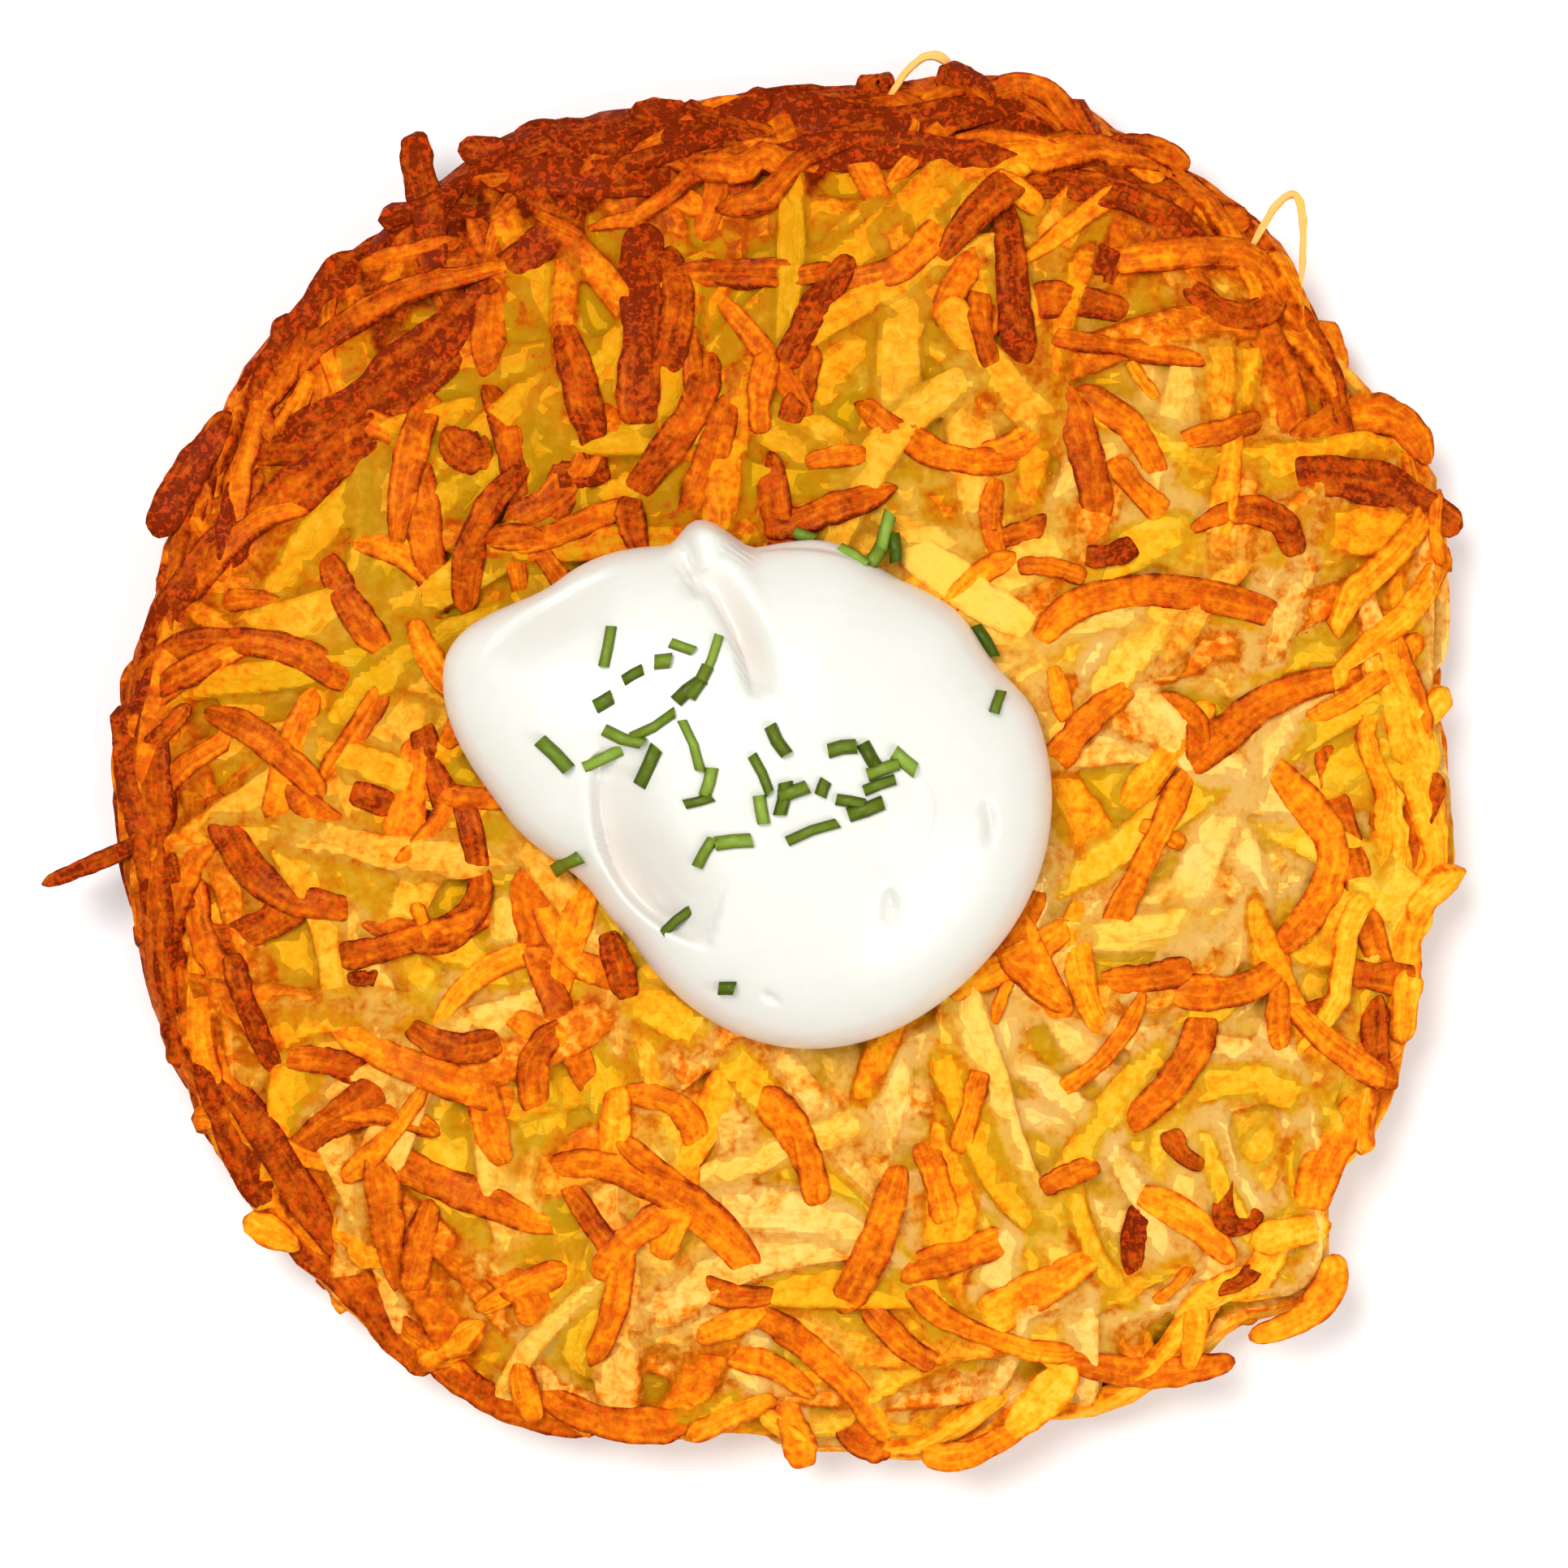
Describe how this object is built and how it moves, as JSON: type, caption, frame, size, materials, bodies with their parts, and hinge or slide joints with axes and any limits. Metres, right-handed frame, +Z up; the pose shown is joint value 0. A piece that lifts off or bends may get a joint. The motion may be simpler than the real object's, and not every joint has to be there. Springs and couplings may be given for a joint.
{
  "type": "potato rosti",
  "caption": "Round fried cake of grated potato with a browned, ragged edge, topped with a swirled dollop of sour cream and chopped chives.",
  "frame": {"origin": "middle of the flat underside, on the surface the cake rests on", "axes": "+Z up through the cake, +Y towards the side where the cream ends in its peak, +X to the right of it seen from above"},
  "size_m": [0.1252, 0.121, 0.0236],
  "materials": {
    "fried_potato": "fried grated potato, golden with brown crisp shreds, slightly oily",
    "sour_cream": "smooth white cream, soft gloss",
    "chive": "fresh cut green herb"
  },
  "bodies": {
    "root": {"rosti": "fried_potato", "sour_cream": "sour_cream"}
  },
  "joints": []
}
